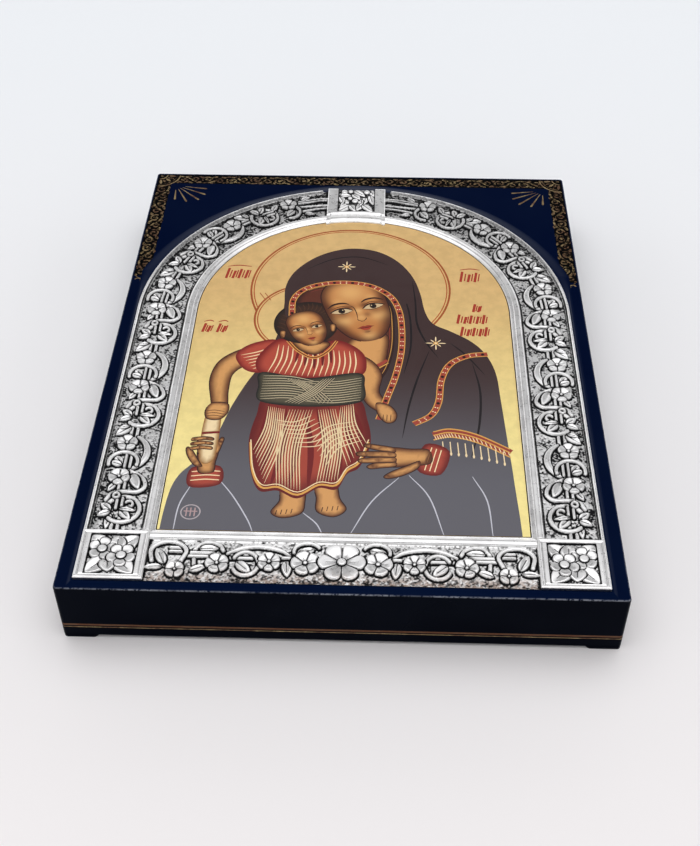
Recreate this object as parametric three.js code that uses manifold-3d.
// Icon panel: a navy lacquered wooden board with four low feet, a pressed silver
// surround with a vine-scroll arch, and a printed picture plate inside the arch.
// Millimetres. The panel lies on its back: +X right, +Y to the picture's top, +Z up,
// with the origin at the centre of the underside.

import * as THREE from 'three';
import { mergeVertices } from 'three/addons/utils/BufferGeometryUtils.js';
import Module from 'manifold-3d';

const wasm = await Module();
wasm.setup();

// Driving dimensions of the board
const boardWidth = 160;
const boardHeight = 210;
const boardThickness = 22;
const cornerBevel = 0.8;
const edgeBevel = 0.5;
const footSize = 10.5;
const footHeight = 1;

// The shoulder of lacquer that carries the silver: narrow beside the pillars and
// below, wide round the arch
const shoulderRise = 0.8;
const shoulderHalfWidth = 76.6;
const shoulderRadius = 80;
const shoulderMargin = 0.4;

// The silver surround: outer and inner outlines share one centre of the arch
const archCentreY = 18.2;
const archSteps = 30;
const silverHalfWidth = 74.6;
const silverBottom = -102.4;
const openingHalfWidth = 54;
const openingBottom = -83.8;

// Levels, as heights above the underside
const shoulderZ = boardThickness + shoulderRise;
const groundZ = shoulderZ + 0.3;
const sunkZ = shoulderZ + 0.15;
const reliefZ = shoulderZ + 1.5;
const rimZ = shoulderZ + 1.4;
const mouldingZ = shoulderZ + 1.4;
const squareZ = shoulderZ + 1.3;
const keystoneZ = shoulderZ + 2.0;
const pictureZ = shoulderZ + 0.4;

// The band of ornament runs between the outer rim and the inner moulding
const bandOuter = 73;
const bandInner = 58;
const bandMiddle = (bandOuter + bandInner) / 2;
const mouldingWidth = 3.8;

// Corner squares and the bottom band between them
const squareTop = -84.6;
const squareInnerX = 55.2;
const squarePanel = 13.8;
const squarePanelDepth = 0.9;

// Keystone
const keystoneX = -0.6;
const keystoneWidth = 22;
const keystoneTop = archCentreY + silverHalfWidth - 0.8;
const keystoneBottom = archCentreY + openingHalfWidth - 1.2;
const pilasterWidth = 3.5;
const keystoneFillet = 0.6;
const keystonePanel = keystoneWidth - 2 * (pilasterWidth + keystoneFillet);
const lipHeight = 5.2;

// Picture plate
const plateGap = 0.3;

// Vine scroll: one unit repeats up the pillar and round the arch
const vinePitch = 40.1;
const firstRing = 8.0;
const stemHalf = 0.6;
const flowerRadius = 3.3;
const centreFlowerRadius = 7.2;
const sectionTip = 0.12;
const leafBelly = 0.42;

// An arched outline, counterclockwise from the bottom left. Where the circle is wider
// than the straight sides, the arc starts where the two meet.
function archOutline(halfWidth, bottomY, radius) {
  const points = [new THREE.Vector2(-halfWidth, bottomY), new THREE.Vector2(halfWidth, bottomY)];
  const start = Math.acos(halfWidth / radius);
  for (let step = 0; step <= archSteps; step++) {
    const angle = start + (Math.PI - 2 * start) * step / archSteps;
    points.push(new THREE.Vector2(radius * Math.cos(angle), archCentreY + radius * Math.sin(angle)));
  }
  return points;
}

function rectangle(x0, y0, x1, y1) {
  return [[x0, y0], [x1, y0], [x1, y1], [x0, y1]].map(([x, y]) => new THREE.Vector2(x, y));
}

// A rectangle with its corners cut off
function bevelledRectangle(halfX, halfY, bevel) {
  const corners = [
    [-halfX + bevel, -halfY], [halfX - bevel, -halfY], [halfX, -halfY + bevel], [halfX, halfY - bevel],
    [halfX - bevel, halfY], [-halfX + bevel, halfY], [-halfX, halfY - bevel], [-halfX, -halfY + bevel],
  ];
  return corners.map(([x, y]) => new THREE.Vector2(x, y));
}

function geometryOf(vertices, triangles) {
  const geometry = new THREE.BufferGeometry();
  geometry.setAttribute('position', new THREE.Float32BufferAttribute(vertices, 3));
  geometry.setIndex(triangles);
  return geometry;
}

// Six times the volume inside a closed mesh: negative when its faces point inwards
function signedVolume(vertices, triangles) {
  let sum = 0;
  const corners = [new THREE.Vector3(), new THREE.Vector3(), new THREE.Vector3()];
  for (let index = 0; index < triangles.length; index += 3) {
    corners.forEach((corner, place) => corner.fromArray(vertices, 3 * triangles[index + place]));
    sum += corners[0].dot(corners[1].clone().cross(corners[2]));
  }
  return sum;
}

// A closed mesh becomes a solid with its faces pointing out
function solidOf(vertices, triangles) {
  const outward = signedVolume(vertices, triangles) > 0;
  const triVerts = new Uint32Array(triangles.length);
  for (let index = 0; index < triangles.length; index += 3) {
    triVerts[index] = triangles[index];
    triVerts[index + 1] = triangles[index + (outward ? 1 : 2)];
    triVerts[index + 2] = triangles[index + (outward ? 2 : 1)];
  }
  return new wasm.Manifold(new wasm.Mesh({ numProp: 3, vertProperties: new Float32Array(vertices), triVerts }));
}

// Quads between two rings of equal length that start at the given vertex numbers
function bridge(triangles, ringA, ringB, count, closed) {
  const last = closed ? count : count - 1;
  for (let index = 0; index < last; index++) {
    const next = (index + 1) % count;
    triangles.push(ringA + index, ringA + next, ringB + next);
    triangles.push(ringA + index, ringB + next, ringB + index);
  }
}

// A solid through outlines at rising heights, flat below, and flat or drawn to a point
// above. A mirrored outline is turned round first, so that all run counterclockwise.
function loft(given, apex = null) {
  const clockwise = THREE.ShapeUtils.isClockWise(given[0].outline);
  const levels = given.map(({ outline, z }) => ({ outline: clockwise ? [...outline].reverse() : outline, z }));
  const count = levels[0].outline.length;
  const vertices = levels.flatMap(({ outline, z }) => outline.flatMap((point) => [point.x, point.y, z]));
  const triangles = [];
  for (let level = 0; level + 1 < levels.length; level++) {
    bridge(triangles, level * count, (level + 1) * count, count, true);
  }
  const top = (levels.length - 1) * count;
  for (const [a, b, c] of THREE.ShapeUtils.triangulateShape(levels[0].outline, [])) {
    triangles.push(a, c, b);
  }
  if (apex) {
    vertices.push(apex.point.x, apex.point.y, apex.z);
    for (let index = 0; index < count; index++) {
      triangles.push(top + index, top + (index + 1) % count, top + count);
    }
    return solidOf(vertices, triangles);
  }
  for (const [a, b, c] of THREE.ShapeUtils.triangulateShape(levels[levels.length - 1].outline, [])) {
    triangles.push(top + a, top + b, top + c);
  }
  return solidOf(vertices, triangles);
}

// A profile of { outline, z } rings swept round a closed outline, closing on itself
function ringSweep(rings) {
  const count = rings[0].outline.length;
  const vertices = rings.flatMap(({ outline, z }) => outline.flatMap((point) => [point.x, point.y, z]));
  const triangles = [];
  rings.forEach((ring, index) => {
    bridge(triangles, index * count, ((index + 1) % rings.length) * count, count, true);
  });
  return solidOf(vertices, triangles);
}

// A profile of { outline, z } lines swept along an open path, with flat ends
function openSweep(lines) {
  const count = lines[0].outline.length;
  const vertices = lines.flatMap(({ outline, z }) => outline.flatMap((point) => [point.x, point.y, z]));
  const triangles = [];
  lines.forEach((line, index) => {
    bridge(triangles, index * count, ((index + 1) % lines.length) * count, count, false);
  });
  for (let index = 1; index + 1 < lines.length; index++) {
    triangles.push(0, index * count, (index + 1) * count);
    triangles.push(count - 1, (index + 2) * count - 1, (index + 1) * count - 1);
  }
  return solidOf(vertices, triangles);
}

// Places a point of the ornament. In the vine, u runs up the left or right pillar and
// round the arch, and v from the band's outer edge inwards.
const pillarLength = archCentreY - squareTop;
const onPillar = (side) => (u, v) => {
  const radius = bandOuter - v;
  if (u <= pillarLength) {
    return new THREE.Vector2(side * radius, squareTop + u);
  }
  const angle = (u - pillarLength) / bandMiddle;
  return new THREE.Vector2(side * radius * Math.cos(angle), archCentreY + radius * Math.sin(angle));
};

// In the bottom band and the panels, u runs to the middle and v upwards
const onPlane = (side, x, y) => (u, v) => new THREE.Vector2(side * (x + u), y + v);

// A ridge along a path of [u, v] points: wide at the foot and sharp at the crest.
// The half width follows a function of the way along, from 0 to 1.
function ridge(place, path, halfWidth, crestZ = reliefZ) {
  const vertices = [];
  const triangles = [];
  const middle = path.map(([u, v]) => place(u, v));
  middle.forEach((point, index) => {
    const before = middle[Math.max(index - 1, 0)];
    const after = middle[Math.min(index + 1, middle.length - 1)];
    const across = after.clone().sub(before).normalize().rotateAround(new THREE.Vector2(), Math.PI / 2);
    const half = Math.max(halfWidth(index / (middle.length - 1)), sectionTip);
    const left = point.clone().addScaledVector(across, half);
    const right = point.clone().addScaledVector(across, -half);
    const rise = (crestZ - groundZ) * Math.min(1, half / stemHalf);
    vertices.push(left.x, left.y, sunkZ, right.x, right.y, sunkZ, point.x, point.y, groundZ + rise);
  });
  for (let index = 0; index + 1 < middle.length; index++) {
    bridge(triangles, 3 * index, 3 * (index + 1), 3, true);
  }
  const end = 3 * (middle.length - 1);
  triangles.push(0, 2, 1, end, end + 1, end + 2);
  return solidOf(vertices, triangles);
}

// Paths, as lists of [u, v]. Angles are in degrees, from the v axis towards the u axis.
function arcPath(u, v, radiusU, radiusV, from, to, steps) {
  return Array.from({ length: steps + 1 }, (_, step) => {
    const angle = THREE.MathUtils.degToRad(from + (to - from) * step / steps);
    return [u + radiusU * Math.sin(angle), v + radiusV * Math.cos(angle)];
  });
}

function curvePath(points, steps) {
  const curve = new THREE.SplineCurve(points.map(([u, v]) => new THREE.Vector2(u, v)));
  return curve.getPoints(steps).map((point) => [point.x, point.y]);
}

const even = (half) => () => half;
const crescentShape = (half) => (t) => half * (0.45 + 0.55 * Math.sin(Math.PI * t));

function stem(place, path, half = stemHalf) {
  return ridge(place, path, even(half));
}

// A kite-shaped leaf that rises to a point over its broadest place
function leaf(place, foot, tip, width, crestZ = reliefZ) {
  const start = new THREE.Vector2(...foot);
  const run = new THREE.Vector2(...tip).sub(start);
  const across = run.clone().rotateAround(new THREE.Vector2(), Math.PI / 2).setLength(width / 2);
  const belly = start.clone().addScaledVector(run, leafBelly);
  const corners = [start, belly.clone().sub(across), start.clone().add(run), belly.clone().add(across)];
  const outline = corners.map((corner) => place(corner.x, corner.y));
  return loft([{ outline, z: sunkZ }], { point: place(belly.x, belly.y), z: crestZ });
}

// A straight stretch of stem along the band
function bar(place, u0, u1, v, half = 1.2) {
  return stem(place, [[u0, v], [u1, v]], half);
}

// A flower: petals that rise from their outline to a rounded crest, and dip in the middle
function flower(place, u, v, radius, petals = 5, turn = 18) {
  const outline = (scale) => Array.from({ length: 3 * petals }, (_, index) => {
    const petal = Math.floor(index / 3);
    const corner = index % 3;
    const angle = turn + (360 / petals) * (petal + [-0.24, 0.24, 0.5][corner]);
    const reach = scale * radius * (corner === 2 ? 0.62 : 1);
    const [pointU, pointV] = arcPath(u, v, reach, reach, angle, angle, 1)[0];
    return place(pointU, pointV);
  });
  return loft([
    { outline: outline(1), z: sunkZ },
    { outline: outline(0.75), z: reliefZ - 0.1 },
  ], { point: place(u, v), z: groundZ + 0.3 });
}

// One unit of the vine: ring with curl, bars and leaf, stem and outer leaf, flower under
// a crescent, half ring with a fan of leaves, second flower and a loop round a teardrop
function vineUnit(place, u) {
  const ringV = 8.3;
  const parts = [
    stem(place, arcPath(u, ringV, 5, 5, 150, -135, 8), 0.75),
    bar(place, u - 0.5, u + 4.5, 6.8),
    leaf(place, [u - 1, 6.8], [u - 3.9, 11.2], 2.6),
    leaf(place, [u - 0.4, 4.6], [u + 2.0, 1.9], 2.2),
    leaf(place, [u - 0.9, 4.6], [u - 2.2, 1.4], 2.2),
  ];
  if (u < vinePitch / 2) {
    parts.push(bar(place, u - firstRing + 0.3, u - 4, 7.0));
    parts.push(leaf(place, [u - 2, 4.6], [u - firstRing + 0.6, 4.9], 2.4));
    return parts;
  }
  parts.push(
    bar(place, u - 9.5, u - 4.5, 6.8),
    leaf(place, [u - 5.6, 5.4], [u - 9.0, 0.9], 3.2),
    flower(place, u - 12.4, 5.6, flowerRadius),
    ridge(place, arcPath(u - 16.6, 5.2, 7.6, 6.9, 62, -68, 5), crescentShape(1.1)),
    stem(place, arcPath(u - 20.8, 5.4, 4.3, 4.4, 195, -15, 6), 0.65),
    bar(place, u - 22.6, u - 17.4, 6.8, 0.7),
    leaf(place, [u - 21.6, 5.2], [u - 18.6, 2.5], 2.4),
    leaf(place, [u - 22.2, 5.0], [u - 22.4, 1.3], 2.4),
    flower(place, u - 26.8, 5.0, flowerRadius),
    stem(place, curvePath([[u - 24.6, 8.2], [u - 27.2, 12.2], [u - 30.6, 13.5], [u - 33, 11.6], [u - 33, 7.4],
      [u - 33.8, 4.2], [u - 36.4, 2.8]], 7), 0.7),
    leaf(place, [u - 26.4, 9.2], [u - 31.4, 11.6], 3.2),
  );
  return parts;
}

// The vine's last stretch before the keystone: a flower, a leaf and three stems
function vineEnd(place, u) {
  const end = pillarLength + bandMiddle * Math.acos(keystoneWidth / 2 / bandMiddle) + 1;
  return [
    flower(place, u + 8.6, 3.4, flowerRadius),
    stem(place, arcPath(u + 7.6, 9, 4.3, 4.3, 200, -20, 6), 0.7),
    leaf(place, [u + 9.5, 8.6], [u + 6.2, 10.6], 2.8),
    stem(place, curvePath([[u + 11.5, 5.4], [u + 16, 6.4], [end, 7.8]], 4), 0.8),
    stem(place, curvePath([[u + 12, 4.2], [u + 16.5, 3.4], [end, 3.8]], 4), 0.45),
    leaf(place, [u + 14.6, 2.6], [u + 17.6, 1.3], 2.6),
    leaf(place, [u + 17.5, 5.6], [end, 5.6], 1.6),
  ];
}

// One side of the bottom band. Here u is the distance from the middle and v from the
// band's middle line.
function bottomVine(place) {
  return [
    flower(place, 10, -0.4, 4.4, 5, 90),
    stem(place, arcPath(9.8, 3.6, 3.8, 3.4, -60, 100, 6), 0.6),
    leaf(place, [15.6, -0.2], [15.2, -6.2], 3.2),
    flower(place, 20.4, -0.4, 3.6, 6, 0),
    stem(place, curvePath([[14.6, 1.4], [17.5, 3.6], [23, 4.9], [28, 4.2], [32.4, 1.8]], 6), 0.85),
    stem(place, arcPath(27.0, -1.7, 3.9, 4.4, 60, -240, 8), 0.65),
    leaf(place, [28.6, -1.2], [25.6, -4.6], 2.8),
    stem(place, [[25.6, 0.9], [31.4, 0.9]], 0.5),
    flower(place, 35.0, -1.6, 3.6, 5, 90),
    stem(place, curvePath([[41.4, -2.2], [41.6, 3], [38.6, 6.0], [35, 5.2], [33.6, 2.9]], 6), 0.7),
    leaf(place, [40.6, 3.8], [35.2, 3.4], 2.4),
    stem(place, [[36.4, 1.2], [44.4, 1.2]], 0.5),
    leaf(place, [42.6, -4.4], [37.8, -2.6], 2.4),
    stem(place, curvePath([[45.4, -1.6], [44.0, 2.6], [46.6, 5.6], [51, 6.0], [54, 3.0], [53.4, -1.2]], 7), 0.7),
    leaf(place, [50.6, -0.8], [52.4, 4.2], 2.8),
    stem(place, [[45, 3.2], [48.4, 3.2]], 0.5),
    flower(place, 46.6, -4.2, 2.8, 4, 45),
  ];
}

// Everything in a corner square's sunk panel: two rosettes on a slant and six leaves
function squareOrnament(place) {
  const reach = squarePanel / 2 - 0.6;
  const parts = [
    flower(place, 3.1, 1.7, 3.8, 5, 0),
    flower(place, -2.7, -0.6, 3.8, 5, 36),
  ];
  for (const [alongU, alongV] of [[1, 1], [1, -1], [-1, 1], [-1, -1]]) {
    parts.push(leaf(place, [alongU * reach * 0.5, alongV * reach * 0.45], [alongU * reach, alongV * reach], 2.8));
  }
  parts.push(leaf(place, [-1.4, 2.8], [-1.6, reach], 3.0));
  parts.push(leaf(place, [1.2, -2.2], [0.2, -reach], 3.0));
  return parts;
}

function joined(parts) {
  return parts.reduce((whole, part) => whole.add(part));
}

const box = (x0, y0, x1, y1, z0, z1) => {
  const outline = rectangle(x0, y0, x1, y1);
  return loft([{ outline, z: z0 }, { outline, z: z1 }]);
};

// A block whose top edges are bevelled by the same amount on all four sides
function bevelledBlock(x0, y0, x1, y1, z0, z1, bevel) {
  const foot = rectangle(x0, y0, x1, y1);
  const crown = rectangle(x0 + bevel, y0 + bevel, x1 - bevel, y1 - bevel);
  return loft([{ outline: foot, z: z0 }, { outline: foot, z: z1 - bevel }, { outline: crown, z: z1 }]);
}

// The board: bevelled slab, four corner feet and the shoulder under the silver
function boardSolid() {
  const halfX = boardWidth / 2;
  const halfY = boardHeight / 2;
  const slab = loft([
    { outline: bevelledRectangle(halfX, halfY, cornerBevel), z: footHeight },
    { outline: bevelledRectangle(halfX, halfY, cornerBevel), z: boardThickness - edgeBevel },
    { outline: bevelledRectangle(halfX - edgeBevel, halfY - edgeBevel, cornerBevel), z: boardThickness },
  ]);
  const feet = [[-1, -1], [1, -1], [1, 1], [-1, 1]].map(([signX, signY]) => {
    const foot = bevelledRectangle(footSize / 2, footSize / 2, cornerBevel);
    const outline = foot.map((point) => new THREE.Vector2(
      point.x + signX * (halfX - footSize / 2),
      point.y + signY * (halfY - footSize / 2),
    ));
    return loft([{ outline, z: 0 }, { outline, z: 2 * footHeight }]);
  });
  const shoulderFoot = archOutline(shoulderHalfWidth, -halfY + edgeBevel + 0.3, shoulderRadius);
  const crownHalf = silverHalfWidth + shoulderMargin;
  const shoulderCrown = archOutline(crownHalf, silverBottom - shoulderMargin, crownHalf);
  const shoulder = loft([
    { outline: shoulderFoot, z: boardThickness - edgeBevel },
    { outline: shoulderFoot, z: boardThickness },
    { outline: shoulderCrown, z: shoulderZ },
  ]);
  return joined([slab, ...feet, shoulder]);
}

// The flat sheet that everything pressed in the silver rises from
function silverSheet() {
  const outer = archOutline(silverHalfWidth, silverBottom, silverHalfWidth);
  const opening = archOutline(openingHalfWidth, openingBottom, openingHalfWidth);
  const sheet = loft([{ outline: outer, z: shoulderZ }, { outline: outer, z: groundZ }]);
  return sheet.subtract(loft([{ outline: opening, z: shoulderZ - 1 }, { outline: opening, z: groundZ + 1 }]));
}

// The smooth moulding round the picture: a step and a round that fall to the picture
function innerMoulding() {
  const at = (offset, z) => ({
    outline: archOutline(openingHalfWidth + offset, openingBottom - offset, openingHalfWidth + offset),
    z,
  });
  return ringSweep([
    at(0, shoulderZ + 0.1), at(0, pictureZ + 0.15), at(1.1, pictureZ + 0.5), at(1.6, mouldingZ - 0.15),
    at(2.9, mouldingZ), at(mouldingWidth, groundZ), at(mouldingWidth, shoulderZ + 0.1),
  ]);
}

// The outer rim, up one pillar, over the arch and down the other
function outerRim() {
  const at = (inset, z) => {
    const half = silverHalfWidth - inset;
    return { outline: [...archOutline(half, squareTop, half).slice(1), new THREE.Vector2(-half, squareTop)], z };
  };
  return openSweep([
    at(0, shoulderZ + 0.05), at(0, rimZ - 0.4), at(0.5, rimZ), at(1.0, rimZ), at(1.5, groundZ),
    at(1.5, shoulderZ + 0.05),
  ]);
}

// A corner square: bevelled block with a sunk panel that holds the two rosettes
function cornerSquare(side) {
  const [x0, x1] = [squareInnerX, silverHalfWidth].map((x) => side * x).sort((a, b) => a - b);
  const centreX = side * (silverHalfWidth + squareInnerX + 0.6) / 2;
  const centreY = (squareTop + silverBottom) / 2;
  const half = squarePanel / 2;
  const block = bevelledBlock(x0, silverBottom, x1, squareTop, sunkZ, squareZ, 0.4);
  const panel = box(centreX - half, centreY - half, centreX + half, centreY + half,
    squareZ - squarePanelDepth, squareZ + 1);
  return joined([block.subtract(panel), ...squareOrnament(onPlane(side, Math.abs(centreX), centreY))]);
}

// The keystone: a block between two pilasters, with a sunk diapered panel above and a
// plain lip that breaks forward over the inner moulding
function keystone() {
  const left = keystoneX - keystoneWidth / 2;
  const right = keystoneX + keystoneWidth / 2;
  const half = keystonePanel / 2;
  const panelBottom = keystoneBottom + lipHeight;
  const block = bevelledBlock(left, keystoneBottom + 1, right, keystoneTop, sunkZ, keystoneZ, 0.4);
  const lip = bevelledBlock(left, keystoneBottom, right, keystoneBottom + lipHeight - 1.5, pictureZ + 0.05,
    keystoneZ - 0.5, 0.6);
  const panel = box(keystoneX - half, panelBottom, keystoneX + half, keystoneTop + 1, keystoneZ - 0.8, keystoneZ + 1);
  const cells = 3;
  const pitch = keystonePanel / cells;
  const blobs = [];
  for (let row = 0; row < cells; row++) {
    for (let column = 0; column < cells; column++) {
      const place = onPlane(1, keystoneX - half + (column + 0.5) * pitch, panelBottom + (row + 0.5) * pitch);
      const slant = (row + column) % 2 === 0 ? 1 : -1;
      const reach = 0.42 * pitch;
      blobs.push(leaf(place, [-reach, -slant * reach], [reach, slant * reach], 0.7 * pitch, keystoneZ - 0.1));
    }
  }
  return joined([block.subtract(panel), lip, ...blobs]);
}

// The two strips of band ground beside the keystone are kept clear of the rim
function rimBreak() {
  const half = keystoneWidth / 2 + 2;
  const side = silverHalfWidth - 1.7;
  return box(keystoneX - half, archCentreY + side - 1.5, keystoneX + half, archCentreY + silverHalfWidth + 1,
    groundZ, keystoneZ + 1);
}

// Every unit of the vine whose ring lies on the band below the keystone
function vine(side) {
  const place = onPillar(side);
  const rings = 5;
  const parts = [];
  for (let ring = 0; ring < rings; ring++) {
    parts.push(...vineUnit(place, firstRing + ring * vinePitch));
  }
  parts.push(...vineEnd(place, firstRing + (rings - 1) * vinePitch));
  return parts;
}

function silverSolid() {
  const bandMidY = (openingBottom - mouldingWidth + silverBottom) / 2 + 0.6;
  const parts = [silverSheet(), outerRim().subtract(rimBreak()), innerMoulding()];
  for (const side of [-1, 1]) {
    parts.push(...vine(side));
    parts.push(...bottomVine(onPlane(side, 0, bandMidY)));
    parts.push(cornerSquare(side));
  }
  parts.push(flower(onPlane(1, 0, bandMidY), 0, 0, centreFlowerRadius, 6, 30));
  parts.push(keystone());
  return joined(parts);
}

// The printed plate fills the opening with a small gap all round
function pictureSolid() {
  const half = openingHalfWidth - plateGap;
  const outline = archOutline(half, openingBottom + plateGap, half);
  const plate = loft([{ outline, z: shoulderZ }, { outline, z: pictureZ }]);
  const lipRoom = box(keystoneX - keystoneWidth / 2 - plateGap, keystoneBottom - plateGap,
    keystoneX + keystoneWidth / 2 + plateGap, archCentreY + openingHalfWidth + 1, shoulderZ - 1, keystoneZ);
  return plate.subtract(lipRoom);
}

function meshOf(name, solid, colour, roughness, metalness) {
  const { vertProperties, triVerts } = solid.getMesh();
  const geometry = mergeVertices(geometryOf(Array.from(vertProperties), Array.from(triVerts)), 1e-5);
  geometry.computeVertexNormals();
  const material = new THREE.MeshStandardMaterial({ color: colour, roughness, metalness });
  material.flatShading = true;
  const mesh = new THREE.Mesh(geometry, material);
  mesh.name = name;
  return mesh;
}

const iconPanel = new THREE.Group();
iconPanel.add(
  meshOf('board', boardSolid(), 0x0b1430, 0.15, 0),
  meshOf('silver_surround', silverSolid(), 0xb9bcc2, 0.35, 1),
  meshOf('picture_plate', pictureSolid(), 0xd6b87a, 0.3, 0),
);

export default iconPanel;
